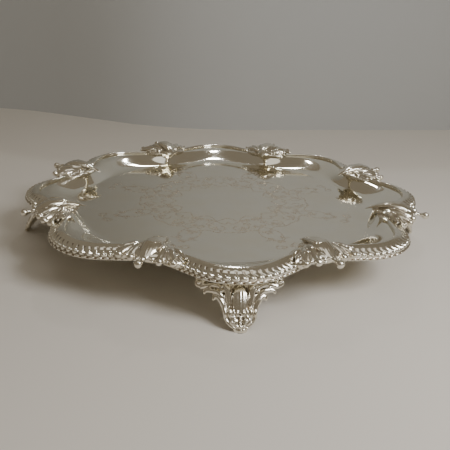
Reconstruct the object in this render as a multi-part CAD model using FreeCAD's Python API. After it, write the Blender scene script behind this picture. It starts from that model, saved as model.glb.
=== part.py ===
"""Shaped-circular silver salver: a raised plate, eight gadroon borders, eight shell mounts, four cast feet.

Millimetres, +Z up. The origin is on the table plane, under the middle of the plate.
Lobe 0 points to the front (-Y) and the lobes count anticlockwise seen from above.
"""
import FreeCAD, Part
import math
import os

V = FreeCAD.Vector
UP = V(0, 0, 1)

# ---------------------------------------------------------------- driving dimensions
LOBES = 8                    # lobes of the outline, with a shell between each pair
STEP = 360.0 / LOBES

# border centre line, seen from above
LOBE_RADIUS = 150.5          # middle of the salver to the tip of a lobe
LOBE_ARC = 37.5              # radius of the arc at the tip of a lobe
WAIST_RADIUS = 130.0         # middle of the salver to the border between two lobes
WAIST_ARC = 15.0             # radius of the hollow between two lobes

# plate
FIELD_Z = 25.3               # serving surface above the table
SHEET = 1.2                  # thickness of the silver sheet
FIELD_RADIUS = 112.5         # where the flat field turns up into the cove
FLANGE_IN = -7.5             # plate rim, measured from the border centre line
FLANGE_OUT = 3.2
FLANGE_IN_Z = 33.8
FLANGE_OUT_Z = 29.3

# gadroon border
BORDER_HALF = 41.5           # half the length of one border strip along the centre line
RIDGE = ((-5.0, 35.9), (-3.0, 36.2), (-1.6, 35.3))  # offset and height of the plain rounded ridge
BORDER_LIP_Z = 30.7
GADROONS = 19
GADROON_PITCH = 4.75         # at the tip of the lobe
GADROON_CROWDING = 0.0053    # how much closer they stand towards the ends, times the cube of their number
GADROON_LEAN = 1.0           # how far a tongue's outer end leans anticlockwise
GADROON_IN = (-1.8, 34.7)    # offset and height of a tongue's narrow inner end
GADROON_OUT = (2.2, 31.7)    # and of its round outer end
GADROON_THIN = 1.2           # radius at the inner end
GADROON_FULL = 1.9           # radius at the outer end

# shell mount. Points are given as distance from the middle, distance to one side, and height
# offset and height of the bed it stands on
SHELL_BASE = ((-7.5, 35.4), (-4.0, 36.7), (1.0, 35.0), (3.2, 31.8))
SHELL_FLOOR_Z = 31.0         # underside of the part that overhangs the rim
SHELL_DOME = (132.5, 0.0, 34.6)
SHELL_DOME_SIZE = (13.8, 6.2)  # radius seen from above, and half height
SPINE = (132.5, 0.0, 38.1)   # the smooth ridge over the middle of the shell
SPINE_SIZE = (5.2, 15.0)     # radius, and half length
LEAF_TIP = (108.5, 0.0, 35.5)
LEAF_ROOT = (122.0, 0.0, 38.8)
LEAF_ROOT_RADIUS = 3.8
FLUTE_HINGE = (126.0, 0.0, 39.0)
FLUTE_ENDS = ((144.0, 9.0, 35.8), (142.5, 17.0, 35.2))
FLUTE = 1.6                  # radius of a flute
BALL = 2.1                   # radius of the ball at its end
PENDANT_ROOT = (140.0, 0.0, 38.4)
# distance, height and radius of its beads, and the radius of the rod that joins them
PENDANT = ((147.2, 36.6, 1.8), (153.2, 36.2, 2.2))
PENDANT_ROD = 1.2
SCROLL = 2.7                 # radius of the scroll at each side of a shell
SCROLL_AT = 7.0              # its distance past the end of the border strip
SCROLL_Z = 35.0

# foot. It is worked out upright, with x out of its front face and z up the face, and then leaned in
FOOT_LOBES = (0, 2, 4, 6)
TOE_RADIUS = 158.5           # middle of the salver to the front of the toes
FOOT_LEAN = 33.6             # degrees from upright
# distance up the face, depth behind it, and half widths in depth and across
STEM = (
    (-3.0, 2.0, 2.0, 2.8),
    (2.5, 2.1, 2.3, 4.0),
    (6.0, 2.2, 2.6, 6.6),
    (9.5, 2.4, 2.8, 8.6),
    (13.5, 2.6, 3.0, 9.4),
    (18.0, 2.8, 2.9, 9.0),
    (24.0, 2.8, 2.9, 9.5),
    (28.0, 2.6, 2.8, 13.0),
    (33.0, 2.4, 2.8, 17.0),
    (44.0, 2.4, 2.8, 18.0),
)
CARTOUCHE = (-2.9, 0.0, 20.6)  # centre of the plain oval boss
CARTOUCHE_SIZE = (4.7, 6.8)    # radius, and half height
# outline of one half of the leafy wing under the plate: distance to the side, and distance up the face
WING = (
    (0.0, 46.0),
    (22.0, 46.0),
    (26.6, 40.0),
    (27.8, 33.0),
    (27.6, 29.6),
    (25.6, 27.2),
    (23.6, 27.0),
    (24.0, 24.6),
    (22.0, 22.2),
    (18.0, 23.2),
    (15.6, 20.4),
    (12.6, 18.8),
    (9.0, 16.0),
    (0.0, 14.0),
)
WING_BACK = -4.2             # its back and front, measured out of the face
WING_FRONT = -0.8
# round scroll ends on the face: radius and centre
CURLS = (
    (2.9, (-1.6, 24.8, 30.2)),
    (2.0, (-1.5, 13.8, 21.2)),
    (2.6, (-0.6, 3.2, 7.2)),
)

NAMES = ("front", "front_right", "right", "back_right", "back", "back_left", "left", "front_left")


# ---------------------------------------------------------------- the outline and its offsets
def arc(centre, radius, start, end, z):
    """Arc about centre from start to end, in degrees."""
    points = []
    for angle in (start, (start + end) / 2, end):
        a = math.radians(angle)
        points.append(V(centre[0] + radius * math.cos(a), centre[1] + radius * math.sin(a), z))
    return Part.Arc(*points).toShape()


LOBE_CENTRE = (LOBE_RADIUS - LOBE_ARC, 0.0)
WAIST_D = WAIST_RADIUS + WAIST_ARC
WAIST_CENTRE = (WAIST_D * math.cos(math.radians(STEP / 2)), WAIST_D * math.sin(math.radians(STEP / 2)))
_dx = WAIST_CENTRE[0] - LOBE_CENTRE[0]
_dy = WAIST_CENTRE[1] - LOBE_CENTRE[1]
_gap = math.hypot(_dx, _dy)
# direction, in degrees, in which the straight flank between the two arcs faces
FLANK = math.degrees(math.atan2(_dy, _dx) - math.acos((LOBE_ARC + WAIST_ARC) / _gap))
FLANK_LENGTH = math.sqrt(_gap ** 2 - (LOBE_ARC + WAIST_ARC) ** 2)
ARC_HALF = LOBE_ARC * math.radians(FLANK)


def flank_point(offset, along, z, side=1):
    """Point on the straight flank of lobe 0, along mm past the end of the lobe's arc."""
    n = (math.cos(math.radians(FLANK)), math.sin(math.radians(FLANK)))
    x = LOBE_CENTRE[0] + (LOBE_ARC + offset) * n[0] - along * n[1]
    y = (LOBE_ARC + offset) * n[1] + along * n[0]
    return V(x, side * y, z)


def lobe_path(offset, z, along):
    """Edges round the tip of lobe 0, with along mm of flank at each end."""
    return [
        Part.makeLine(flank_point(offset, along, z, -1), flank_point(offset, 0, z, -1)),
        arc(LOBE_CENTRE, LOBE_ARC + offset, -FLANK, FLANK, z),
        Part.makeLine(flank_point(offset, 0, z), flank_point(offset, along, z)),
    ]


def over_waist(point):
    """The point mirrored in the upright plane through the waist between lobes 0 and 1."""
    c = math.cos(math.radians(STEP))
    s = math.sin(math.radians(STEP))
    return V(point.x * c + point.y * s, point.x * s - point.y * c, point.z)


def hollow_arc(offset, z):
    """The rounded waist between lobes 0 and 1."""
    return arc(WAIST_CENTRE, WAIST_ARC - offset, FLANK + 180, STEP - FLANK + 180, z)


def waist_path(offset, z, along):
    """Edges through the waist between lobes 0 and 1, starting along mm past the end of lobe 0's arc."""
    start = flank_point(offset, along, z)
    end = flank_point(offset, FLANK_LENGTH, z)
    return [
        Part.makeLine(start, end),
        hollow_arc(offset, z),
        Part.makeLine(over_waist(end), over_waist(start)),
    ]


def turned(shape, degrees):
    copy = shape.copy()
    copy.rotate(V(0, 0, 0), UP, degrees)
    return copy


def whole_wire(offset, z):
    """The closed outline at an offset from the border centre line."""
    edges = []
    for k in range(LOBES):
        for edge in lobe_path(offset, z, FLANK_LENGTH) + [hollow_arc(offset, z)]:
            edges.append(turned(edge, k * STEP))
    return Part.Wire(Part.__sortEdges__(edges))


def outline_radius(angle, offset):
    """Distance from the middle to the outline, in a direction angle degrees from a lobe's tip."""
    a = math.radians(abs((angle + STEP / 2) % STEP - STEP / 2))
    ray = (math.cos(a), math.sin(a))
    r = LOBE_ARC + offset
    along = LOBE_CENTRE[0] * ray[0]
    tip = along + math.sqrt(r * r - (LOBE_CENTRE[0] * ray[1]) ** 2) if r > LOBE_CENTRE[0] * ray[1] else None
    if tip and math.atan2(tip * ray[1], tip * ray[0] - LOBE_CENTRE[0]) <= math.radians(FLANK):
        return tip
    r = WAIST_ARC - offset
    along = WAIST_CENTRE[0] * ray[0] + WAIST_CENTRE[1] * ray[1]
    across = WAIST_CENTRE[1] * ray[0] - WAIST_CENTRE[0] * ray[1]
    if abs(across) < r:
        hollow = along - math.sqrt(r * r - across * across)
        back = math.atan2(WAIST_CENTRE[1] - hollow * ray[1], WAIST_CENTRE[0] - hollow * ray[0])
        if back <= math.radians(FLANK):
            return hollow
    start = flank_point(offset, 0, 0)
    n = (math.cos(math.radians(FLANK)), math.sin(math.radians(FLANK)))
    return (start.x * n[0] + start.y * n[1]) / (ray[0] * n[0] + ray[1] * n[1])


# ---------------------------------------------------------------- swept strips
def strip(section, path, along):
    """Solid whose section, a list of (offset, z), follows a path function, with flat ends."""
    rails = [path(offset, z, along) for offset, z in section]
    faces = []
    count = len(section)
    for i in range(count):
        for a, b in zip(rails[i], rails[(i + 1) % count]):
            faces.append(Part.makeRuledSurface(a, b))
    for end in (0, -1):
        corners = [rail[end].Vertexes[0 if end == 0 else -1].Point for rail in rails]
        faces.append(Part.Face(Part.makePolygon(corners + corners[:1])))
    return solid_of(faces)


def solid_of(faces):
    sewn = Part.makeCompound(faces)
    sewn.sewShape()
    solid = Part.Solid(sewn.Shells[0])
    if solid.Volume < 0:
        solid.reverse()
    return solid


def flange_z(offset):
    """Height of the plate's sloping rim at an offset from the border centre line."""
    t = (offset - FLANGE_IN) / (FLANGE_OUT - FLANGE_IN)
    return FLANGE_IN_Z + t * (FLANGE_OUT_Z - FLANGE_IN_Z)


# ---------------------------------------------------------------- plate
def cove_rise(t):
    """Share of the plate's rise reached at a share t of the way from the field to the rim."""
    return t * t * (3 - 2 * t) if t < 1 else 1 + 1.2 * (t - 1)


def bowl(drop, spread, reach):
    """Filled bowl: flat field, then a cove that rises to the rim. reach above 1 carries it past the rim."""
    wires = []
    levels = 10
    for i in range(levels + 1):
        t = reach * i / levels
        points = []
        count = LOBES * 16
        for j in range(count):
            angle = 360.0 * j / count
            edge = outline_radius(angle, FLANGE_IN) + spread
            r = FIELD_RADIUS + spread + (edge - FIELD_RADIUS - spread) * t
            z = FIELD_Z + (FLANGE_IN_Z - FIELD_Z) * cove_rise(t) - drop
            a = math.radians(angle)
            points.append(V(r * math.cos(a), r * math.sin(a), z))
        curve = Part.BSplineCurve()
        curve.interpolate(points, PeriodicFlag=True)
        wires.append(Part.Wire(curve.toShape()))
    return Part.makeLoft(wires, True, False)


def rim_ring():
    """The plate's sloping flange, on which the border and the shells are soldered, as one closed ring."""
    section = [
        (FLANGE_IN - 2.0, FLANGE_IN_Z),
        (FLANGE_IN, FLANGE_IN_Z),
        (FLANGE_OUT, FLANGE_OUT_Z),
        (FLANGE_OUT, FLANGE_OUT_Z - SHEET),
        (FLANGE_IN, FLANGE_IN_Z - SHEET),
        (FLANGE_IN - 2.0, FLANGE_IN_Z - SHEET),
    ]
    wires = [whole_wire(offset, z) for offset, z in section]
    faces = []
    for i, wire in enumerate(wires):
        follow = wires[(i + 1) % len(wires)]
        for a, b in zip(wire.OrderedEdges, follow.OrderedEdges):
            faces.append(Part.makeRuledSurface(a, b))
    return solid_of(faces)


# ---------------------------------------------------------------- gadroon border
def border_point(offset, z, s):
    """Point beside the tip of lobe 0, s mm along the border centre line from the tip."""
    side = 1 if s >= 0 else -1
    if abs(s) > ARC_HALF:
        return flank_point(offset, abs(s) - ARC_HALF, z, side)
    a = s / LOBE_ARC
    r = LOBE_ARC + offset
    return V(LOBE_CENTRE[0] + r * math.cos(a), r * math.sin(a), z)


def make_border():
    """One strip of gadrooning round the tip of lobe 0: a moulded base with tongues on its outer slope."""
    section = [(FLANGE_IN, FLANGE_IN_Z), (FLANGE_IN, FLANGE_IN_Z + 0.7)]
    section += RIDGE
    section += [(FLANGE_OUT, BORDER_LIP_Z), (FLANGE_OUT, FLANGE_OUT_Z)]
    base = strip(section, lobe_path, BORDER_HALF - ARC_HALF)
    tongues = []
    for i in range(GADROONS):
        number = i - (GADROONS - 1) / 2
        s = number * GADROON_PITCH - number ** 3 * GADROON_CROWDING
        inner = border_point(*GADROON_IN, s - GADROON_LEAN)
        outer = border_point(*GADROON_OUT, s + GADROON_LEAN)
        length = (outer - inner).Length
        tongues.append(Part.makeCone(GADROON_THIN, GADROON_FULL, length, inner, outer - inner))
        tongues.append(Part.makeSphere(GADROON_FULL, outer))
    return base.fuse(tongues)


# ---------------------------------------------------------------- shell mount
def spheroid(centre, radius, half_length, axis):
    """Ellipsoid of revolution, half_length long each way along an axis and radius round it."""
    if half_length > radius:
        ellipse = Part.Ellipse(V(0, 0, half_length), V(radius, 0, 0), V(0, 0, 0))
        half = ellipse.toShape(0, math.pi)
    else:
        ellipse = Part.Ellipse(V(radius, 0, 0), V(0, 0, half_length), V(0, 0, 0))
        half = ellipse.toShape(-math.pi / 2, math.pi / 2)
    ends = [vertex.Point for vertex in half.Vertexes]
    section = Part.Face(Part.Wire([half, Part.makeLine(ends[1], ends[0])]))
    solid = section.revolve(V(0, 0, 0), UP, 360)
    if axis == "x":
        solid.rotate(V(0, 0, 0), V(0, 1, 0), 90)
    solid.translate(V(*centre))
    return solid


def tapered(a, b, radius_a, radius_b):
    return Part.makeCone(radius_a, radius_b, (b - a).Length, a, b - a)


def make_shell_mount():
    """Shell and leaf over the waist beside lobe 0. It stands on the flange and reaches in over the field and
    out past the rim. It is worked out along +X and then turned to its waist."""
    window = BORDER_HALF - ARC_HALF
    base = strip([(FLANGE_IN, FLANGE_IN_Z), *SHELL_BASE, (FLANGE_OUT, FLANGE_OUT_Z)], waist_path, window)
    pieces = [
        spheroid(SHELL_DOME, *SHELL_DOME_SIZE, "z"),
        spheroid(SPINE, *SPINE_SIZE, "x"),
        tapered(V(*LEAF_TIP), V(*LEAF_ROOT), 0.5, LEAF_ROOT_RADIUS),
    ]
    first, last = [V(r, 0, z) for r, z, _ in PENDANT]
    pieces.append(tapered(V(*PENDANT_ROOT), first, 3.0, PENDANT_ROD))
    pieces.append(Part.makeCylinder(PENDANT_ROD, (last - first).Length, first, last - first))
    for r, z, radius in PENDANT:
        pieces.append(Part.makeSphere(radius, V(r, 0, z)))
    for r, across, z in FLUTE_ENDS:
        for side in (1, -1):
            end = V(r, side * across, z)
            pieces.append(tapered(V(*FLUTE_HINGE), end, 1.2, FLUTE))
            pieces.append(Part.makeSphere(BALL, end))
    shell = turned(pieces[0].fuse(pieces[1:]), STEP / 2)
    scroll = flank_point(-1.0, window + SCROLL_AT, SCROLL_Z)
    shell = shell.fuse([Part.makeSphere(SCROLL, scroll), Part.makeSphere(SCROLL, over_waist(scroll))])
    plate_side = strip(
        [(-30.0, 10.0), (-30.0, FLANGE_IN_Z), (FLANGE_IN, FLANGE_IN_Z), (FLANGE_OUT, FLANGE_OUT_Z),
         (FLANGE_OUT, 10.0)],
        waist_path, 0.0)
    overhang = Part.makeBox(60, 120, 20, V(WAIST_RADIUS + 1, -60, SHELL_FLOOR_Z - 20))
    return base.fuse(shell.cut([plate_side, turned(overhang, STEP / 2)]))


# ---------------------------------------------------------------- foot
def make_foot(dish):
    """Foot below the tip of lobe 0. It ends at the underside of the dish, the plate with its well filled."""
    wires = []
    for height, depth, deep, across in STEM:
        edge = Part.Ellipse(V(0, 0, 0), across, deep).toShape()
        edge.rotate(V(0, 0, 0), UP, 90)
        edge.translate(V(-depth, 0, height))
        wires.append(Part.Wire(edge))
    stem = Part.makeLoft(wires, True, False)
    pieces = [spheroid(CARTOUCHE, *CARTOUCHE_SIZE, "z")]
    outline = [V(WING_BACK, y, z) for y, z in WING]
    outline += [V(p.x, -p.y, p.z) for p in reversed(outline[1:-1])]
    pieces.append(Part.Face(Part.makePolygon(outline + outline[:1])).extrude(V(WING_FRONT - WING_BACK, 0, 0)))
    for radius, (x, across, z) in CURLS:
        for side in (1, -1):
            pieces.append(Part.makeSphere(radius, V(x, side * across, z)))
    foot = stem.fuse(pieces)
    foot.rotate(V(0, 0, 0), V(0, 1, 0), -FOOT_LEAN)
    foot.translate(V(TOE_RADIUS, 0, 0))
    table = Part.makeBox(80, 80, 20, V(TOE_RADIUS - 40, -40, -20))
    foot = foot.cut([dish, table])
    return min(foot.Solids, key=lambda solid: solid.BoundBox.ZMin)


# ---------------------------------------------------------------- write the parts
def export(shape, name):
    os.makedirs("parts", exist_ok=True)
    solids = shape.Solids
    print(name, "valid" if shape.isValid() else "NOT VALID", len(solids), "solid", round(shape.Volume), "mm3")
    solids[0].exportStep("parts/" + name + ".step")


def main():
    dish = bowl(SHEET, 0.9, 1.0).fuse(rim_ring())
    border = make_border()
    shell = make_shell_mount()
    foot = make_foot(dish)
    export(dish.cut(bowl(0.0, 0.0, 1.25)), "plate")
    for k in range(LOBES):
        export(turned(border, k * STEP - 90), "gadroon_border_" + NAMES[k])
        export(turned(shell, k * STEP - 90), "shell_mount_" + str(k + 1))
    for k in FOOT_LOBES:
        export(turned(foot, k * STEP - 90), "foot_" + NAMES[k])


main()
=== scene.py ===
"""Silver salver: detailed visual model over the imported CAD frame. Shapes are worked out in millimetres and
written to meshes in metres. Lobe 0 of the outline is worked out along +X and turned to its place."""
import math

import bpy
import numpy as np
from mathutils import Matrix, Vector


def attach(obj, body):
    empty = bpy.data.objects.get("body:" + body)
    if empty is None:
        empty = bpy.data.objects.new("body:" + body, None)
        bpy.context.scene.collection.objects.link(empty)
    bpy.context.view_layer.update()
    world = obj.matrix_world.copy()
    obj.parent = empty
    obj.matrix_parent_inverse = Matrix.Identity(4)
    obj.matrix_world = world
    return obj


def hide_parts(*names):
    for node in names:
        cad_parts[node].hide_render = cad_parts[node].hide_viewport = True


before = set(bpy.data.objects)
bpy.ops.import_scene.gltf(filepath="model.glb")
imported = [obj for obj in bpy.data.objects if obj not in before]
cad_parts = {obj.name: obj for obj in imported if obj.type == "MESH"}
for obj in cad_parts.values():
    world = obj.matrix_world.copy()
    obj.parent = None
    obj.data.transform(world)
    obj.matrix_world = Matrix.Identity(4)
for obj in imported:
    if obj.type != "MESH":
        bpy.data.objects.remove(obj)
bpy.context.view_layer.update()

MM = 0.001

# ---------------------------------------------------------------- sizes shared with the CAD model, in mm
LOBES = 8
STEP = 45.0
LOBE_RADIUS = 150.5
LOBE_ARC = 37.5
WAIST_RADIUS = 130.0
WAIST_ARC = 15.0
FIELD_Z = 25.3
SHEET = 1.2
FIELD_RADIUS = 112.5
FLANGE_IN = -7.5
FLANGE_OUT = 3.2
FLANGE_IN_Z = 33.8
FLANGE_OUT_Z = 29.3
BORDER_HALF = 41.5
GADROONS = 19
GADROON_PITCH = 4.75
GADROON_CROWDING = 0.0053
TOE_RADIUS = 158.5
TOE_LIMIT = 157.9
FOOT_LEAN = 33.6
NAMES = ("front", "front_right", "right", "back_right", "back", "back_left", "left", "front_left")

LOBE_CENTRE = LOBE_RADIUS - LOBE_ARC
_waist = WAIST_RADIUS + WAIST_ARC
_wx = _waist * math.cos(math.radians(STEP / 2)) - LOBE_CENTRE
_wy = _waist * math.sin(math.radians(STEP / 2))
_between = math.hypot(_wx, _wy)
FLANK = math.atan2(_wy, _wx) - math.acos((LOBE_ARC + WAIST_ARC) / _between)
FLANK_LENGTH = math.sqrt(_between ** 2 - (LOBE_ARC + WAIST_ARC) ** 2)
ARC_HALF = LOBE_ARC * FLANK
HOLLOW_HALF = WAIST_ARC * (FLANK - math.radians(STEP / 2))
HALF = ARC_HALF + FLANK_LENGTH + HOLLOW_HALF


def outline(s):
    """Points and outward normals of the border's centre line, s mm along it from the tip of lobe 0."""
    s = np.asarray(s, float)
    k = np.round(s / (2 * HALF))
    local = s - 2 * HALF * k
    side = np.where(local < 0, -1.0, 1.0)
    along = np.abs(local)
    arc = np.minimum(along, ARC_HALF) / LOBE_ARC
    flank = np.clip(along - ARC_HALF, 0, FLANK_LENGTH)
    hollow = np.maximum(along - ARC_HALF - FLANK_LENGTH, 0) / WAIST_ARC
    x = LOBE_CENTRE + LOBE_ARC * np.cos(arc) - math.sin(FLANK) * flank
    y = LOBE_ARC * np.sin(arc) + math.cos(FLANK) * flank
    x -= WAIST_ARC * (np.cos(FLANK - hollow) - math.cos(FLANK))
    y += WAIST_ARC * (math.sin(FLANK) - np.sin(FLANK - hollow))
    heading = arc - hollow
    nx, ny = np.cos(heading), side * np.sin(heading)
    y = y * side
    turn = np.radians(STEP) * k
    c, q = np.cos(turn), np.sin(turn)
    points = np.stack([x * c - y * q, x * q + y * c], -1)
    normals = np.stack([nx * c - ny * q, nx * q + ny * c], -1)
    return points, normals


def flange_z(offset):
    t = (offset - FLANGE_IN) / (FLANGE_OUT - FLANGE_IN)
    return FLANGE_IN_Z + t * (FLANGE_OUT_Z - FLANGE_IN_Z)


def cove_rise(t):
    """How far up the cove the plate is, 0 to 1, at a share t of the way from the flat field to the rim."""
    return t * t * (3 - 2 * t)


def sheet_top(points, middle):
    """Height of the top of the plate under points near one place of the rim, and how far out they lie.

    middle is the place along the border centre line that lies on +X: 0 for a lobe, HALF for a dip.
    """
    s = np.linspace(middle - 45, middle + 45, 181)
    line, normal = outline(s)
    back = -STEP / 2 if middle else 0.0
    line, normal = turned(line, back), turned(normal, back)
    top = np.zeros(len(points))
    offset = np.zeros(len(points))
    for first in range(0, len(points), 4000):
        p = points[first:first + 4000, :2]
        near = ((p[:, None, :] - line[None]) ** 2).sum(2).argmin(1)
        offset[first:first + 4000] = ((p - line[near]) * normal[near]).sum(1)
        edge = np.hypot(*(line[near] + normal[near] * FLANGE_IN).T)
        rise = np.clip((np.hypot(p[:, 0], p[:, 1]) - FIELD_RADIUS) / (edge - FIELD_RADIUS), 0, 1)
        top[first:first + 4000] = FIELD_Z + (FLANGE_IN_Z - FIELD_Z) * cove_rise(rise)
    return np.where(offset > FLANGE_IN, flange_z(offset), top), offset


# ---------------------------------------------------------------- mesh tools
def turned(points, degrees):
    a = math.radians(degrees)
    out = np.array(points, float)
    x, y = out[:, 0].copy(), out[:, 1].copy()
    out[:, 0] = x * math.cos(a) - y * math.sin(a)
    out[:, 1] = x * math.sin(a) + y * math.cos(a)
    return out


def new_mesh(name, points, faces, values=None):
    """Mesh from points in mm. values maps attribute names to one number per point."""
    mesh = bpy.data.meshes.new(name)
    mesh.from_pydata((np.asarray(points) * MM).tolist(), [], [list(map(int, f)) for f in faces])
    mesh.validate()
    mesh.update()
    for key, numbers in (values or {}).items():
        layer = mesh.attributes.new(key, "FLOAT", "POINT")
        layer.data.foreach_set("value", np.asarray(numbers, np.float32))
    mesh.polygons.foreach_set("use_smooth", [True] * len(mesh.polygons))
    return mesh


def grid_faces(rows, columns, closed_rows=False, closed_columns=False):
    """Quads of a grid whose point (i, j) is number i * columns + j."""
    i = np.arange(rows if closed_rows else rows - 1)
    j = np.arange(columns if closed_columns else columns - 1)
    i, j = np.meshgrid(i, j, indexing="ij")
    i, j = i.ravel(), j.ravel()
    i2, j2 = (i + 1) % rows, (j + 1) % columns
    return np.stack([i * columns + j, i * columns + j2, i2 * columns + j2, i2 * columns + j], -1)


class Clay:
    """Overlapping closed forms that become one cast piece."""

    def __init__(self):
        self.points = []
        self.faces = []
        self.count = 0

    def add(self, points, faces):
        self.points.append(np.asarray(points, float))
        self.faces += [[int(v) + self.count for v in f] for f in faces]
        self.count += len(points)

    def tube(self, path, radii, flat=1.0, up=(0, 0, 1), sides=12):
        """Round or flattened bar along a path. flat scales its thickness along up."""
        path = smooth_path(path)
        radii = np.interp(np.linspace(0, 1, len(path)), np.linspace(0, 1, len(radii)), radii)
        tangent = np.gradient(path, axis=0)
        tangent /= np.linalg.norm(tangent, axis=1)[:, None] + 1e-9
        wide = np.cross(np.asarray(up, float), tangent)
        wide /= np.linalg.norm(wide, axis=1)[:, None] + 1e-9
        thick = np.cross(tangent, wide)
        a = np.linspace(0, 2 * math.pi, sides, endpoint=False)
        ends = [path[end] + tangent[end] * radii[end] * sign for end, sign in ((0, -1), (-1, 1))]
        cap = [(math.cos(math.radians(angle)), -math.sin(math.radians(angle))) for angle in (80, 55, 28)]
        rows = []
        for shrink, push in cap:
            centre = path[0] + tangent[0] * radii[0] * push
            rows.append(self._ring(centre, wide[0], thick[0], radii[0] * shrink, flat, a))
        for index in range(len(path)):
            rows.append(self._ring(path[index], wide[index], thick[index], radii[index], flat, a))
        for shrink, push in reversed(cap):
            centre = path[-1] - tangent[-1] * radii[-1] * push
            rows.append(self._ring(centre, wide[-1], thick[-1], radii[-1] * shrink, flat, a))
        points = np.concatenate(rows + [np.array(ends)])
        count = len(rows)
        faces = grid_faces(count, sides, closed_columns=True).tolist()
        last = count * sides
        for j in range(sides):
            faces.append([last, (j + 1) % sides, j])
            faces.append([last + 1, last - sides + j, last - sides + (j + 1) % sides])
        self.add(points, faces)

    @staticmethod
    def _ring(centre, wide, thick, radius, flat, a):
        return centre + radius * (np.cos(a)[:, None] * wide + flat * np.sin(a)[:, None] * thick)

    def ball(self, centre, size, turn=0.0):
        """Ellipsoid with three half widths, turned about the vertical."""
        rows, columns = 13, 18
        t = np.linspace(0.02, math.pi - 0.02, rows)
        a = np.linspace(0, 2 * math.pi, columns, endpoint=False)
        size = (size,) * 3 if np.isscalar(size) else size
        x = np.outer(np.sin(t), np.cos(a)).ravel() * size[0]
        y = np.outer(np.sin(t), np.sin(a)).ravel() * size[1]
        z = np.outer(np.cos(t), np.ones(columns)).ravel() * size[2]
        points = turned(np.stack([x, y, z], -1), turn) + np.asarray(centre, float)
        faces = grid_faces(rows, columns, closed_columns=True).tolist()
        faces.append(list(range(columns)))
        faces.append(list(range(rows * columns - 1, (rows - 1) * columns - 1, -1)))
        self.add(points, [f[::-1] for f in faces])

    def mirrored(self):
        """Adds the same forms on the other side of the middle plane."""
        points = np.concatenate(self.points) * (1, -1, 1)
        faces = [f[::-1] for f in self.faces]
        self.add(points, faces)

    def cast(self, name, voxel, smooth=2):
        """Fuses the forms into one surface and returns its points and faces in mm."""
        mesh = new_mesh(name, np.concatenate(self.points), self.faces)
        obj = bpy.data.objects.new(name, mesh)
        bpy.context.scene.collection.objects.link(obj)
        remesh = obj.modifiers.new("fuse", "REMESH")
        remesh.mode = "VOXEL"
        remesh.voxel_size = voxel * MM
        relax = obj.modifiers.new("relax", "SMOOTH")
        relax.factor = 0.5
        relax.iterations = smooth
        graph = bpy.context.evaluated_depsgraph_get()
        made = bpy.data.meshes.new_from_object(obj.evaluated_get(graph))
        points = np.zeros(len(made.vertices) * 3)
        made.vertices.foreach_get("co", points)
        faces = [list(p.vertices) for p in made.polygons]
        bpy.data.objects.remove(obj)
        bpy.data.meshes.remove(mesh)
        bpy.data.meshes.remove(made)
        return points.reshape(-1, 3) / MM, faces


def smooth_path(path, spacing=0.7):
    """Evenly spaced points on a smooth curve through the given ones."""
    path = np.asarray(path, float)
    if len(path) < 3:
        steps = max(2, int(np.linalg.norm(path[1] - path[0]) / spacing))
        return path[0] + (path[1] - path[0]) * np.linspace(0, 1, steps)[:, None]
    padded = np.concatenate([[2 * path[0] - path[1]], path, [2 * path[-1] - path[-2]]])
    out = []
    for i in range(1, len(padded) - 2):
        p0, p1, p2, p3 = padded[i - 1:i + 3]
        steps = max(2, int(np.linalg.norm(p2 - p1) / spacing))
        t = np.linspace(0, 1, steps, endpoint=False)[:, None]
        out.append(0.5 * (2 * p1 + (p2 - p0) * t + (2 * p0 - 5 * p1 + 4 * p2 - p3) * t ** 2
                          + (3 * p1 - p0 - 3 * p2 + p3) * t ** 3))
    out.append(path[-1:])
    return np.concatenate(out)


def volute(centre, radius, turns, start, across, upward, shrink=0.25):
    """Points of a spiral that winds in to its centre, in the plane of two directions."""
    t = np.linspace(0, 1, int(14 * turns) + 2)
    r = radius * (1 - (1 - shrink) * t)
    a = math.radians(start) + 2 * math.pi * turns * t
    across, upward = np.asarray(across, float), np.asarray(upward, float)
    round_it = np.cos(a)[:, None] * across + np.sin(a)[:, None] * upward
    return np.asarray(centre, float) + r[:, None] * round_it


FULL_DEPTH = 0.35              # a recess this deep is wholly tarnished


def hollows(points, faces, rounds=14):
    """How deep each point lies in a recess, 0 to 1, or how far it stands out, 0 to -1."""
    edges = set()
    for f in faces:
        for a, b in zip(f, list(f[1:]) + [f[0]]):
            edges.add((a, b) if a < b else (b, a))
    edges = np.array(list(edges))
    a = np.concatenate([edges[:, 0], edges[:, 1]])
    b = np.concatenate([edges[:, 1], edges[:, 0]])
    count = np.bincount(a, minlength=len(points))[:, None] + 1e-9
    mean = np.array(points)
    for _ in range(rounds):
        summed = np.stack([np.bincount(a, weights=mean[b, c], minlength=len(points)) for c in range(3)], -1)
        mean = 0.5 * mean + 0.5 * summed / count
    normals = point_normals(points, faces)
    depth = ((mean - points) * normals).sum(1)
    return np.clip(depth / FULL_DEPTH, -1, 1)


def point_normals(points, faces):
    quads = np.array([f if len(f) == 4 else (f[0], f[1], f[2], f[2]) for f in faces])
    p = points[quads]
    n = np.cross(p[:, 2] - p[:, 0], p[:, 3] - p[:, 1])
    flat = np.linalg.norm(n, axis=1) < 1e-12
    n[flat] = np.cross(p[flat, 1] - p[flat, 0], p[flat, 2] - p[flat, 0])
    out = np.zeros_like(points)
    for c in range(3):
        for k in range(4):
            out[:, c] += np.bincount(quads[:, k], weights=n[:, c], minlength=len(points))
    return out / (np.linalg.norm(out, axis=1)[:, None] + 1e-12)


# ---------------------------------------------------------------- plate
ENGRAVED_FROM, ENGRAVED_TO = 31, 104
ENGRAVING_DEPTH = 0.09
ENGRAVING_WIDTH = 0.5
ENGRAVING_REACH = 1.6
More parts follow.
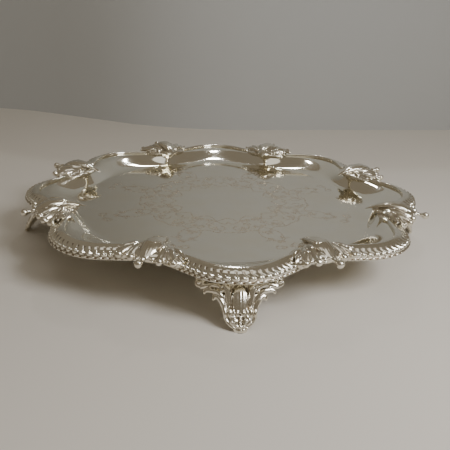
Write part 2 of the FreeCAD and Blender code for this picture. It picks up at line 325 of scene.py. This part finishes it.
# each stem runs through these distances from the middle and angles from the lobe's own line
SCROLL_STEMS = (
    ((38, 0), (43, 8), (52, 15), (60, 13), (63, 6), (58, 3), (54, 6)),
    ((36, 22.5), (40, 15), (47, 9), (50, 3), (46, 0)),
    ((66, 0), (67, 7), (64, 14), (67, 19), (73, 22.5)),
    ((60, 22.5), (66, 18), (76, 17), (85, 20), (93, 22), (100, 20.5), (98, 17.5), (94, 18.5)),
)
SCROLL_LEAVES = (              # distance, angle, and turn of the first stroke
    (46, 12, 60), (56, 9, -40), (70, 19, 35), (80, 18, -30), (88, 21, 40), (60, 18, 80), (42, 19, -60))
SCROLL_RINGS = ((52, 15), (64, 8), (97, 19))
LEAF_STROKES = 4
LEAF_LENGTH = 5.2
RING_RADIUS = 2.4


def scroll_lines():
    """Engraved scrollwork of one eighth of the field, as (points, strength) lines, its middle along +X."""
    lines = []

    def polar(r, degrees):
        a = math.radians(degrees)
        return (r * math.cos(a), r * math.sin(a))

    def stroke(points, weight=1.0):
        points3 = [(x, y, 0) for x, y in points]
        lines.append((smooth_path(points3, 0.3)[:, :2], weight))

    for side in (1, -1):
        for stem in SCROLL_STEMS:
            stroke([polar(r, side * a) for r, a in stem])
        for r, a, turn in SCROLL_LEAVES:
            x, y = polar(r, side * a)
            for k in range(LEAF_STROKES):
                d = math.radians(side * a + side * (turn + k * 24))
                tip = (x + LEAF_LENGTH * math.cos(d), y + LEAF_LENGTH * math.sin(d))
                bend = math.radians(side * a + side * (turn + k * 24 + 30))
                middle = (x + LEAF_LENGTH / 2 * math.cos(bend), y + LEAF_LENGTH / 2 * math.sin(bend))
                stroke([(x, y), middle, tip], 0.8)
        for r, a in SCROLL_RINGS:
            x, y = polar(r, side * a)
            angles = np.linspace(0, 5.4, 8)
            stroke([(x + RING_RADIUS * math.cos(t), y + RING_RADIUS * math.sin(t)) for t in angles], 0.9)
    return lines


def engraving(points):
    """Strength 0 to 1 of the engraved lines at points of the field."""
    a = np.degrees(np.arctan2(points[:, 1], points[:, 0]))
    fold = (a + STEP / 2) % STEP - STEP / 2
    r = np.hypot(points[:, 0], points[:, 1])
    local = np.stack([r * np.cos(np.radians(fold)), r * np.sin(np.radians(fold))], -1)
    out = np.zeros(len(points))
    for line, weight in scroll_lines():
        low, high = line.min(0) - ENGRAVING_REACH, line.max(0) + ENGRAVING_REACH
        near = np.where(((local > low) & (local < high)).all(1))[0]
        if len(near) == 0:
            continue
        gap = np.sqrt(((local[near][:, None, :] - line[None]) ** 2).sum(2).min(1))
        out[near] = np.maximum(out[near], weight * np.exp(-(gap / ENGRAVING_WIDTH) ** 2))
    return out


FLANGE_END = 2.2               # the sheet stops short of the border's edge
PLATE_COLUMNS = 560            # points in each ring of the plate


def make_plate():
    columns = PLATE_COLUMNS
    s = np.linspace(0, 2 * HALF * LOBES, columns, endpoint=False)
    centre_line, normal = outline(s)
    edge = centre_line + normal * FLANGE_IN
    edge_r = np.hypot(edge[:, 0], edge[:, 1])
    unit = edge / edge_r[:, None]
    rings = []
    engraved = []

    def ring(xy, z, mark=0.0):
        rings.append(np.column_stack([xy, np.full(columns, z) if np.isscalar(z) else z]))
        engraved.append(np.full(columns, mark) if np.isscalar(mark) else mark)

    radii = np.concatenate([np.linspace(3, ENGRAVED_FROM, 9), np.arange(32, 70, 0.62),
                            np.arange(70, ENGRAVED_TO, 0.78), np.linspace(ENGRAVED_TO, FIELD_RADIUS, 5)])
    for r in radii:
        xy = unit * r
        mark = engraving(xy) if ENGRAVED_FROM < r < ENGRAVED_TO else np.zeros(columns)
        ring(xy, FIELD_Z - ENGRAVING_DEPTH * mark, mark)
    for t in np.linspace(0, 1, 31)[1:]:
        z = FIELD_Z + (FLANGE_IN_Z - FIELD_Z) * cove_rise(t)
        ring(unit * (FIELD_RADIUS + (edge_r - FIELD_RADIUS) * t)[:, None], z)
    for offset in (-4.0, 0.0, FLANGE_END - 0.4, FLANGE_END):
        ring(centre_line + normal * offset, flange_z(offset) - 0.04)
    for offset in (FLANGE_END, 0.0, -4.0, FLANGE_IN):
        ring(centre_line + normal * offset, flange_z(offset) - SHEET)
    for t in np.linspace(1, 0, 15)[1:]:
        r = FIELD_RADIUS + 0.9 + (edge_r - FIELD_RADIUS) * t
        ring(unit * r[:, None], FIELD_Z - SHEET + (FLANGE_IN_Z - FIELD_Z) * cove_rise(t))
    for r in (100, 80, 60, 40, 20, 5):
        ring(unit * r, FIELD_Z - SHEET)
    count = len(rings)
    points = np.concatenate(rings + [[[0, 0, FIELD_Z]], [[0, 0, FIELD_Z - SHEET]]])
    faces = grid_faces(count, columns, closed_columns=True).tolist()
    faces = [f[::-1] for f in faces]
    top, bottom = count * columns, count * columns + 1
    for j in range(columns):
        k = (j + 1) % columns
        faces.append([top, j, k])
        faces.append([bottom, (count - 1) * columns + k, (count - 1) * columns + j])
    marks = np.concatenate(engraved + [[0.0, 0.0]])
    points = turned(points, -90)
    return new_mesh("plate", points, faces, {"engraved": marks})


# ---------------------------------------------------------------- gadroon border
LEAN = 1.0
TONGUE_IN, TONGUE_OUT = 1.7, 4.2
TONGUE_THIN, TONGUE_FULL = 1.9, 2.3
TONGUE_RISE = (0.25, 1.2)
BEAD, BEAD_AT, BEAD_RISE = 1.3, 5.0, 0.5
SCALLOP_AT = 7.35
SCALLOP, SCALLOP_HALF, SCALLOP_RISE = 1.75, 0.8, 0.6
RIB, RIB_RISE = 0.42, 0.34
GROOVE_AT, GROOVE_HALF, GROOVE_DEPTH = 3.4, 3.0, 0.3
HIDDEN = 99.0                  # place on the section of points that lie against the plate


def border_section():
    """Offset, height, distance along the slope, and outward direction of the border's section."""
    crest = [(-7.5, 33.82), (-7.55, 34.6), (-7.4, 35.5), (-7.0, 36.0), (-6.5, 36.15), (-5.6, 36.05),
             (-4.6, 35.85), (-3.6, 35.6), (-2.9, 35.3)]
    slope = [(-2.4 + 5.3 * t, 34.95 - 4.35 * t) for t in np.linspace(0, 1, 27)]
    lip = [(3.15, 30.3), (3.2, 29.9), (3.1, 29.5), (2.7, 29.3)]
    under = [(o, flange_z(o) - 0.02) for o in (1.5, -1.0, -4.0, -7.0)]
    visible = np.array(crest + slope + lip)
    points = np.array(crest + slope + lip + under)
    step = np.concatenate([[0], np.cumsum(np.hypot(*np.diff(points, axis=0).T))])
    v = step - step[len(crest)]
    tangent = np.gradient(points, axis=0)
    tangent /= np.linalg.norm(tangent, axis=1)[:, None]
    out = np.stack([-tangent[:, 1], tangent[:, 0]], -1)
    v[len(visible):] = HIDDEN
    return points[:, 0], points[:, 1], v, out


def make_border():
    offset, z, v, out = border_section()
    columns = 14 * GADROONS + 1
    s = np.linspace(-BORDER_HALF, BORDER_HALF, columns)
    centre_line, normal = outline(s)
    numbers = np.linspace(-GADROONS, GADROONS, 400)
    places = numbers * GADROON_PITCH - np.clip(numbers, -10, 10) ** 3 * GADROON_CROWDING
    span = TONGUE_OUT - TONGUE_IN
    rows, tarnish = [], []
    for j in range(len(offset)):
        along = np.clip((v[j] - TONGUE_IN) / span, 0, 1)
        phase = np.interp(s - LEAN * (2 * along - 1), places, numbers)
        number = np.clip(np.round(phase), -(GADROONS // 2), GADROONS // 2)
        pitch = GADROON_PITCH - 3 * GADROON_CROWDING * number ** 2
        ds = (phase - number) * pitch
        tight = pitch / GADROON_PITCH
        dv = v[j] - (TONGUE_IN + along * span)
        width = (TONGUE_THIN + (TONGUE_FULL - TONGUE_THIN) * along) * tight
        d2 = (ds / width) ** 2 + (dv / TONGUE_FULL) ** 2
        rise = TONGUE_RISE[0] + (TONGUE_RISE[1] - TONGUE_RISE[0]) * along
        bulge = rise * np.sqrt(np.clip(1 - d2, 0, 1))
        from_bead = (ds / (BEAD * tight)) ** 2 + ((v[j] - BEAD_AT) / BEAD) ** 2
        bead = BEAD_RISE * np.sqrt(np.clip(1 - from_bead, 0, 1))
        half = (phase - np.floor(phase) - 0.5) * pitch
        rib = RIB_RISE * along * np.clip(1 - (half / RIB) ** 2, 0, 1)
        rib = rib * np.clip((TONGUE_OUT - v[j]) / 1.2, 0, 1)
        groove = np.clip(1 - abs(v[j] - GROOVE_AT) / GROOVE_HALF, 0, 1) * np.clip(d2 - 0.9, 0, 1)
        groove = GROOVE_DEPTH * groove
        from_crescent = (half / (SCALLOP * tight)) ** 2 + ((v[j] - SCALLOP_AT) / SCALLOP_HALF) ** 2
        crescent = SCALLOP_RISE * np.sqrt(np.clip(1 - from_crescent, 0, 1))
        push = bulge + bead + rib - groove + crescent
        o = offset[j] + push * out[j, 0]
        xy = centre_line + normal * o[:, None]
        rows.append(np.column_stack([xy, z[j] + push * out[j, 1]]))
        low = np.clip(d2 - 0.75, 0, 1) * (v[j] > 0) * np.clip(1 - crescent / 0.3 - rib / 0.2, 0, 1)
        tarnish.append(low if v[j] < HIDDEN else np.full(columns, 0.3))
    count = len(rows)
    points = np.concatenate(rows)
    faces = grid_faces(count, columns, closed_rows=True).tolist()
    faces.append([i * columns for i in range(count)])
    faces.append([i * columns + columns - 1 for i in range(count)][::-1])
    return points, faces, np.concatenate(tarnish)


# ---------------------------------------------------------------- shell mount
SHELL_VOXEL = 0.4
SHELL_FLOOR_Z = 31.0
SHELL_TOP_Z = 43.25
BEDDED = 0.12                  # a cast piece sinks this far into the plate, so no gap shows
SPINE_HALF = 6.3
SPINE_RIB_PITCH, SPINE_RIB_RISE = 1.7, 0.07
FAN_HALF, FAN_HINGE = 19, 112
FAN_RIB_DEGREES, FAN_RIB_RISE = 3.4, 0.06


def make_shell():
    """Cast shell, modelled with x outward from the middle of the salver and y along the rim."""
    clay = Clay()
    spine = [(110.6, 0, 35.6), (114.5, 0, 37.5), (119, 0, 39.2), (126, 0, 40.9), (134, 0, 41.3),
             (140.5, 0, 39.6), (145.5, 0, 37.2)]
    clay.tube(spine, (0.7, 3.0, 4.4, 5.4, 6.2, 5.0, 2.4), 0.34, (0.12, 0, 1), 24)
    clay.ball((131.5, 0, 37.5), (12.5, 5.4, 2.4))
    for r, z, size in ((147.2, 36.6, 1.75), (150.2, 36.4, 1.6), (153.0, 36.2, 2.6)):
        clay.ball((r, 0, z), size)
    clay.tube([(145, 0, 36.8), (153, 0, 36.2)], (0.9, 0.8))
    clay.ball((133.5, 0.0, 35.0), (11.4, 19.0, 4.4))
    clay.ball((133.0, 0.0, 36.9), (12.4, 12.6, 3.5))
    clay.ball((130.0, 0.0, 34.2), (11.0, 20.0, 2.6))
    clay.ball((123.0, 0.0, 36.2), (8.0, 7.5, 2.2))
    clay.tube([(124, 3.2, 36.8), (129, 5.6, 38.7), (134.5, 7.4, 39.1), (140, 8.6, 37.6), (143.8, 9.1, 35.9)],
              (1.3, 1.9, 2.1, 2.0, 1.5))
    clay.ball((144.6, 9.2, 35.4), 2.45)
    clay.tube([(127, 8.0, 36.6), (131, 10.8, 37.6), (135.5, 13.6, 37.4), (139.6, 15.9, 36.4),
               (142.4, 17.0, 35.3)], (1.1, 1.8, 2.0, 1.8, 1.4))
    clay.ball((143.2, 17.4, 35.1), 2.4)
    clay.tube([(130, 9.0, 37.2), (136, 11.0, 37.8), (141.4, 12.8, 35.8)], (1.0, 1.4, 0.9))
    clay.ball((142.2, 13.2, 35.3), 1.15)
    clay.tube([(136, 3.4, 38.4), (141, 4.2, 37.4), (144.6, 4.8, 35.8)], (0.9, 1.1, 0.9))
    clay.ball((145.4, 4.9, 35.3), 1.15)
    clay.tube(volute((126.0, 8.2, 37.2), 2.4, 1.2, 150, (1, 0, 0), (0, 1, 0)), (1.2, 1.1, 0.8))
    clay.ball((126.0, 8.2, 37.8), 1.15)
    clay.tube([(127, 10.5, 37.0), (129.5, 14.5, 37.4), (132.5, 18.5, 36.8), (135.5, 22.0, 35.8)],
              (1.5, 1.9, 1.6, 0.7), 0.75)
    clay.tube(volute((131.5, 17.0, 36.4), 2.6, 1.2, 200, (1, 0, 0), (0, 1, 0)), (1.2, 1.1, 0.8), 0.9)
    clay.ball((131.5, 17.0, 37.0), 1.15)
    clay.tube([(134.5, 15.0, 36.8), (136.6, 18.6, 36.4), (138.6, 21.6, 35.2)], (1.4, 1.5, 0.7), 0.8)
    clay.ball((135.2, 22.4, 36.2), 0.9)
    clay.ball((138.6, 17.6, 33.2), (3.2, 3.8, 3.0))
    clay.mirrored()
    points, faces = clay.cast("shell", SHELL_VOXEL)
    normals = point_normals(points, faces)
    top = np.clip(normals[:, 2] - 0.2, 0, 0.4) / 0.4
    ribs = np.clip((points[:, 0] - 110) / 5, 0, 1) * np.clip((146 - points[:, 0]) / 4, 0, 1)
    ribs = ribs * top * (abs(points[:, 1]) < SPINE_HALF) * (points[:, 2] > 36.5)
    wave = np.cos(2 * math.pi * points[:, 1] / SPINE_RIB_PITCH)
    points += normals * (SPINE_RIB_RISE * ribs * wave)[:, None]
    across = abs(points[:, 1])
    fan = np.clip((points[:, 0] - 129) / 4, 0, 1) * top * (across >= SPINE_HALF) * (across < FAN_HALF)
    angle = np.degrees(np.arctan2(across, points[:, 0] - FAN_HINGE))
    points += normals * (FAN_RIB_RISE * fan * np.cos(2 * math.pi * angle / FAN_RIB_DEGREES))[:, None]
    sheet, offset = sheet_top(points, HALF)
    bed = np.where(offset < FLANGE_OUT, sheet - BEDDED, SHELL_FLOOR_Z)
    points[:, 2] = np.clip(points[:, 2], bed, SHELL_TOP_Z)
    return points, faces


# ---------------------------------------------------------------- foot
FOOT_VOXEL = 0.38
FOOT_DROPS = (                 # across, height, half width, half height, and how far out of the face
    (1.75, 11.8, 1.15, 2.3, 0.2),
    (3.9, 12.6, 0.8, 2.6, -0.5),
    (6.1, 12.2, 1.25, 3.1, -0.1),
    (8.8, 12.4, 1.1, 3.0, -0.9),
)
TOE_BEADS = (                  # how far out of the face, across, height, and radius
    (0.4, 0, 9.8, 0.8),
    (0.5, 0, 8.0, 0.9),
    (0.3, 0, 6.1, 0.85),
    (-0.2, 0, 4.1, 1.0),
    (-1.0, 0, 2.1, 1.05),
    (-0.5, 2.0, 4.6, 0.95),
    (-0.9, 3.7, 3.4, 0.85),
    (-1.1, 1.9, 2.4, 0.85),
)
BOSS_HALF = 4.6
BOSS_RIB_PITCH, BOSS_RIB_RISE = 1.9, 0.09


def make_foot():
    """Cast foot, modelled upright with x out of its face, y across it and z up it, then leaned in."""
    clay = Clay()
    face = (1, 0, 0)
    clay.tube([(-2.6, 0, 40), (-2.8, 0, 30), (-2.9, 0, 22), (-2.6, 0, 14), (-2.4, 0, 9), (-2.3, 0, 4.5),
               (-2.2, 0, 1.0)],
              (12, 10.5, 8.6, 8.8, 8.0, 5.2, 2.8), 0.25, face, 24)
    clay.ball((0.4, 0, 19.8), (1.2, 4.6, 8.4))
    clay.ball((-0.6, 0, 20.0), (1.7, 5.0, 9.0))
    clay.ball((-2.9, 13, 32.0), (1.3, 13.2, 7.0))
    clay.tube([(-2.6, 6.0, 17.0), (-2.5, 9.5, 23.5), (-2.5, 14.5, 28.0), (-2.6, 20.5, 31.0)],
              (2.6, 4.6, 5.2, 4.4), 0.3, face)
    for across, height, half_width, half_height, depth in FOOT_DROPS:
        clay.ball((depth, across, height), (1.5, half_width, half_height))
    clay.tube([(-1.9, 9.2, 35.0), (-0.7, 8.4, 30.2), (0.0, 7.3, 25.8), (-0.3, 6.9, 20.5), (-0.9, 6.6, 16),
               (-0.5, 6.1, 12)], (1.5, 2.4, 2.15, 1.7, 1.2, 1.1), 0.8, face)
    clay.tube([(-1.5, 15.2, 20.4), (-1.3, 14.8, 21.8), (-1.0, 12.8, 21.4), (-0.8, 10.8, 18.8),
               (-1.0, 9.5, 15.6), (-0.9, 8.8, 12.4), (-1.5, 8.5, 9.6), (-1.4, 7.2, 6.8), (-1.2, 4.8, 4.4),
               (-1.2, 2.6, 3.2)],
              (1.2, 1.5, 1.7, 1.7, 1.4, 1.35, 1.15, 1.1, 1.0, 0.7), 0.9, face)
    clay.tube([(-1.6, 20.6, 24.2), (-1.4, 19.4, 25.4), (-1.1, 16.4, 25.4), (-0.7, 13.2, 24.6),
               (-0.6, 10.9, 22.2), (-1.0, 9.2, 19)], (1.2, 1.6, 1.9, 1.8, 1.5, 1.0), 0.85, face)
    clay.tube([(-1.5, 22.4, 27.4), (-1.3, 18.5, 28.6), (-0.9, 14.4, 28.6), (-0.7, 11.6, 27.2),
               (-0.6, 10.0, 25.0)], (1.3, 1.8, 1.8, 1.6, 1.1), 0.85, face)
    clay.tube([(-1.6, 4.0, 33.4), (-1.5, 11, 33.0), (-1.7, 18, 32.6), (-1.9, 23.6, 32.8)],
              (1.9, 1.8, 1.6, 1.3), 0.8, face)
    clay.tube(volute((-1.5, 23.9, 30.1), 2.8, 1.3, 80, (0, 1, 0), (0, 0, 1)), (1.3, 1.1, 0.8), 0.9, face)
    clay.ball((-0.8, 23.9, 30.1), 1.15)
    clay.ball((0.0, 10.6, 27.6), 0.95)
    clay.ball((0.0, 10.4, 25.2), 0.95)
    clay.ball((-0.5, 17.8, 26.8), 0.8)
    clay.tube(volute((-0.2, 3.3, 7.5), 2.35, 1.25, 100, (0, -1, 0), (0, 0, 1)), (0.9, 0.8, 0.55), 0.9, face)
    clay.ball((0.1, 3.3, 7.5), 0.85)
    for depth, across, height, size in TOE_BEADS:
        clay.ball((depth, across, height), size)
    clay.ball((-2.2, 0, 3.0), (1.9, 4.3, 3.4))
    clay.mirrored()
    points, faces = clay.cast("foot", FOOT_VOXEL)
    normals = point_normals(points, faces)
    boss = np.clip(normals[:, 0] - 0.3, 0, 0.3) / 0.3 * (abs(points[:, 1]) < BOSS_HALF)
    boss = boss * np.clip((points[:, 2] - 12.0) / 2, 0, 1) * np.clip((27.5 - points[:, 2]) / 3, 0, 1)
    wave = np.cos(2 * math.pi * points[:, 1] / BOSS_RIB_PITCH)
    points += normals * (BOSS_RIB_RISE * boss * wave)[:, None]
    lean = math.radians(FOOT_LEAN)
    x, z = points[:, 0].copy(), points[:, 2].copy()
    points[:, 0] = np.minimum(TOE_RADIUS + x * math.cos(lean) - z * math.sin(lean), TOE_LIMIT)
    points[:, 2] = x * math.sin(lean) + z * math.cos(lean)
    sheet, offset = sheet_top(points, 0.0)
    under_rim = flange_z(FLANGE_OUT) - SHEET
    ceiling = np.where(offset < FLANGE_OUT, sheet - SHEET + 0.1, under_rim)
    points[:, 2] = np.clip(points[:, 2], 0.0, ceiling)
    return points, faces


# ---------------------------------------------------------------- materials
def silver(name, tone, dark, polish, grime, engraved=False, scale=60.0):
    """Worn silver: tone is the bright colour, dark the tarnish in the recesses, grime how much there is."""
    material = bpy.data.materials.new(name)
    material.use_nodes = True
    tree = material.node_tree
    nodes, links = tree.nodes, tree.links
    nodes.clear()
    out = nodes.new("ShaderNodeOutputMaterial")
    shader = nodes.new("ShaderNodeBsdfPrincipled")
    shader.inputs["Metallic"].default_value = 1.0
    links.new(shader.outputs[0], out.inputs[0])
    place = nodes.new("ShaderNodeTexCoord")

    def noise(size, detail, roughness=0.5):
        node = nodes.new("ShaderNodeTexNoise")
        node.inputs["Scale"].default_value = size
        node.inputs["Detail"].default_value = detail
        node.inputs["Roughness"].default_value = roughness
        links.new(place.outputs["Object"], node.inputs["Vector"])
        return node.outputs["Fac"]

    def ramp(value, low, high, a=0.0, b=1.0):
        node = nodes.new("ShaderNodeMapRange")
        node.inputs["From Min"].default_value = low
        node.inputs["From Max"].default_value = high
        node.inputs["To Min"].default_value = a
        node.inputs["To Max"].default_value = b
        links.new(value, node.inputs["Value"])
        return node.outputs["Result"]

    def math_node(kind, a, b):
        node = nodes.new("ShaderNodeMath")
        node.operation = kind
        node.use_clamp = True
        for k, value in enumerate((a, b)):
            if isinstance(value, (int, float)):
                node.inputs[k].default_value = value
            else:
                links.new(value, node.inputs[k])
        return node.outputs[0]

    def mix(factor, a, b):
        node = nodes.new("ShaderNodeMix")
        node.data_type = "RGBA"
        links.new(factor, node.inputs["Factor"])
        for socket, value in (("A", a), ("B", b)):
            target = [k for k in node.inputs if k.name == socket and k.type == "RGBA"][0]
            if isinstance(value, tuple):
                target.default_value = value + (1.0,)
            else:
                links.new(value, target)
        return [k for k in node.outputs if k.type == "RGBA"][0]

    recess = nodes.new("ShaderNodeAttribute")
    recess.attribute_name = "engraved" if engraved else "recess"
    cloud = noise(scale, 4.0, 0.6)
    fine = noise(scale * 9, 3.0)
    patches = ramp(cloud, 0.35, 0.7)
    if engraved:
        tarnish = math_node("MULTIPLY", ramp(recess.outputs["Fac"], 0.05, 0.7), grime)
    else:
        deep = ramp(recess.outputs["Fac"], 0.05, 0.85)
        tarnish = math_node("MULTIPLY", math_node("ADD", deep, math_node("MULTIPLY", patches, 0.12)), grime)
    warm = mix(patches, tone, tuple(c * k for c, k in zip(tone, (0.985, 0.955, 0.90))))
    links.new(mix(tarnish, warm, dark), shader.inputs["Base Color"])
    wear = ramp(fine, 0.3, 0.7, polish, polish + 0.07)
    rough = math_node("ADD", wear, math_node("MULTIPLY", tarnish, 0.35))
    links.new(rough, shader.inputs["Roughness"])
    bump = nodes.new("ShaderNodeBump")
    bump.inputs["Strength"].default_value = 0.25
    bump.inputs["Distance"].default_value = 0.00003
    links.new(fine, bump.inputs["Height"])
    links.new(bump.outputs[0], shader.inputs["Normal"])
    return material


SILVER = (0.88, 0.865, 0.785)
TARNISH = (0.20, 0.14, 0.075)
plate_silver = silver("plate_silver", SILVER, (0.62, 0.50, 0.36), 0.045, 0.55, True, 45.0)
border_silver = silver("border_silver", SILVER, TARNISH, 0.1, 0.95)
cast_silver = silver("cast_silver", (0.85, 0.82, 0.73), TARNISH, 0.12, 1.0)


def stage_material(name, colour, roughness):
    material = bpy.data.materials.new(name)
    material.use_nodes = True
    shader = material.node_tree.nodes["Principled BSDF"]
    shader.inputs["Base Color"].default_value = colour + (1.0,)
    shader.inputs["Roughness"].default_value = roughness
    return material


# ---------------------------------------------------------------- pieces
def piece(name, mesh, material, slot, *nodes):
    obj = bpy.data.objects.new(name, mesh)
    bpy.context.scene.collection.objects.link(obj)
    mesh.materials.clear()
    mesh.materials.append(material)
    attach(obj, "root")
    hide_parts(*nodes)
    return obj


piece("plate_sheet", make_plate(), plate_silver, "plate_silver", "plate")

border_points, border_faces, border_recess = make_border()
shell_points, shell_faces = make_shell()
shell_recess = hollows(shell_points, shell_faces)
foot_points, foot_faces = make_foot()
foot_recess = hollows(foot_points, foot_faces)

for k in range(LOBES):
    name = "gadroon_border_" + NAMES[k]
    mesh = new_mesh(name, turned(border_points, k * STEP - 90), border_faces, {"recess": border_recess})
    piece("gadroons_" + NAMES[k], mesh, border_silver, "border_silver", name)
    name = "shell_mount_%d" % (k + 1)
    mesh = new_mesh(name, turned(shell_points, (k + 0.5) * STEP - 90), shell_faces, {"recess": shell_recess})
    piece("cast_shell_%d" % (k + 1), mesh, cast_silver, "cast_silver", name)
for k in (0, 2, 4, 6):
    name = "foot_" + NAMES[k]
    mesh = new_mesh(name, turned(foot_points, k * STEP - 90), foot_faces, {"recess": foot_recess})
    piece("cast_" + name, mesh, cast_silver, "cast_silver", name)


# ---------------------------------------------------------------- stage, light and camera
def plane(name, width, depth, location, rotation, material):
    w, d = width / 2, depth / 2
    mesh = bpy.data.meshes.new(name)
    mesh.from_pydata([(-w, -d, 0), (w, -d, 0), (w, d, 0), (-w, d, 0)], [], [(0, 1, 2, 3)])
    mesh.materials.append(material)
    obj = bpy.data.objects.new(name, mesh)
    obj.location = location
    obj.rotation_euler = rotation
    bpy.context.scene.collection.objects.link(obj)
    return obj


BACKDROP_FOOT = (
    (-3.2, 1.37), (-0.413, 0.531), (-0.312, 0.500), (-0.259, 0.485), (-0.203, 0.456), (-0.151, 0.429),
    (-0.102, 0.402), (-0.054, 0.387), (-0.008, 0.378), (0.062, 0.377), (0.163, 0.386), (0.284, 0.396),
    (0.361, 0.402), (3.2, 0.66))
BACKDROP_HEIGHT = 0.32


def open_from_behind(material):
    """Lets the back of a one-sided sheet be seen through, so that it hides nothing from behind."""
    nodes, links = material.node_tree.nodes, material.node_tree.links
    side = nodes.new("ShaderNodeNewGeometry")
    clear = nodes.new("ShaderNodeBsdfTransparent")
    choice = nodes.new("ShaderNodeMixShader")
    links.new(side.outputs["Backfacing"], choice.inputs[0])
    links.new(nodes["Principled BSDF"].outputs[0], choice.inputs[1])
    links.new(clear.outputs[0], choice.inputs[2])
    links.new(choice.outputs[0], nodes["Material Output"].inputs["Surface"])
    return material


def backdrop(material):
    """Upright sheet that stands on the floor along a bent line."""
    line = np.array(BACKDROP_FOOT)
    points = [(x, y, z) for z in (0.0, BACKDROP_HEIGHT) for x, y in line]
    mesh = bpy.data.meshes.new("backdrop")
    mesh.from_pydata(points, [], grid_faces(2, len(line)).tolist())
    mesh.polygons.foreach_set("use_smooth", [True] * len(mesh.polygons))
    mesh.materials.append(material)
    obj = bpy.data.objects.new("backdrop", mesh)
    bpy.context.scene.collection.objects.link(obj)


plane("floor", 6.0, 6.0, (0, 0, 0), (0, 0, 0), stage_material("floor", (0.72, 0.68, 0.61), 0.7))
backdrop(open_from_behind(stage_material("backdrop", (0.47, 0.475, 0.46), 0.8)))


def softbox(name, location, target, size, power, colour=(1, 1, 1)):
    light = bpy.data.lights.new(name, "AREA")
    light.shape = "RECTANGLE"
    light.size, light.size_y = size
    light.energy = power
    light.color = colour
    obj = bpy.data.objects.new(name, light)
    obj.location = location
    aim = Vector(target) - Vector(location)
    obj.rotation_euler = aim.to_track_quat("-Z", "Y").to_euler()
    bpy.context.scene.collection.objects.link(obj)
    return obj


softbox("key", (0.36, -0.40, 0.46), (0, 0, 0.02), (0.26, 0.26), 3.3, (0.98, 0.98, 1.0))
softbox("overhead", (0.05, -0.45, 1.40), (0, 0, 0), (1.0, 1.0), 2.4, (1.0, 0.98, 0.93))
softbox("window", (0.08, 0.78, 0.95), (0, 0.1, 0.03), (0.06, 0.045), 0.7, (1.0, 0.99, 0.97))

world = bpy.data.worlds.new("studio")
bpy.context.scene.world = world
world.use_nodes = True
world.node_tree.nodes["Background"].inputs["Color"].default_value = (1.0, 0.86, 0.66, 1)
world.node_tree.nodes["Background"].inputs["Strength"].default_value = 0.2

FOCAL = 607.0
ELEVATION = math.radians(22.62)
DISTANCE = 497.0
YAW = math.radians(4.41)
AIM = (math.radians(0.18), math.radians(1.26))
ROLL = math.radians(2.06)
TABLE_DROP = 6.7
spot = np.array([0.0, -DISTANCE * math.cos(ELEVATION), DISTANCE * math.sin(ELEVATION)])
forward = -spot / np.linalg.norm(spot)
right = np.array([1.0, 0.0, 0.0])
up = np.cross(right, forward)
forward = forward + right * math.tan(AIM[0]) + up * math.tan(AIM[1])
forward /= np.linalg.norm(forward)
right = np.cross(forward, (0, 0, 1))
right /= np.linalg.norm(right)
up = np.cross(right, forward)
right, up = right * math.cos(ROLL) + up * math.sin(ROLL), up * math.cos(ROLL) - right * math.sin(ROLL)
place = spot - (0, 0, TABLE_DROP)
matrix = Matrix.Identity(4)
for i in range(3):
    matrix[i][0], matrix[i][1], matrix[i][2], matrix[i][3] = right[i], up[i], -forward[i], place[i] * MM
camera = bpy.data.cameras.new("camera")
camera.sensor_width = 36.0
camera.lens = FOCAL / 450.0 * 36.0
camera.dof.use_dof = False
camera_object = bpy.data.objects.new("camera", camera)
camera_object.matrix_world = Matrix.Rotation(-YAW, 4, "Z") @ matrix
bpy.context.scene.collection.objects.link(camera_object)
bpy.context.scene.camera = camera_object
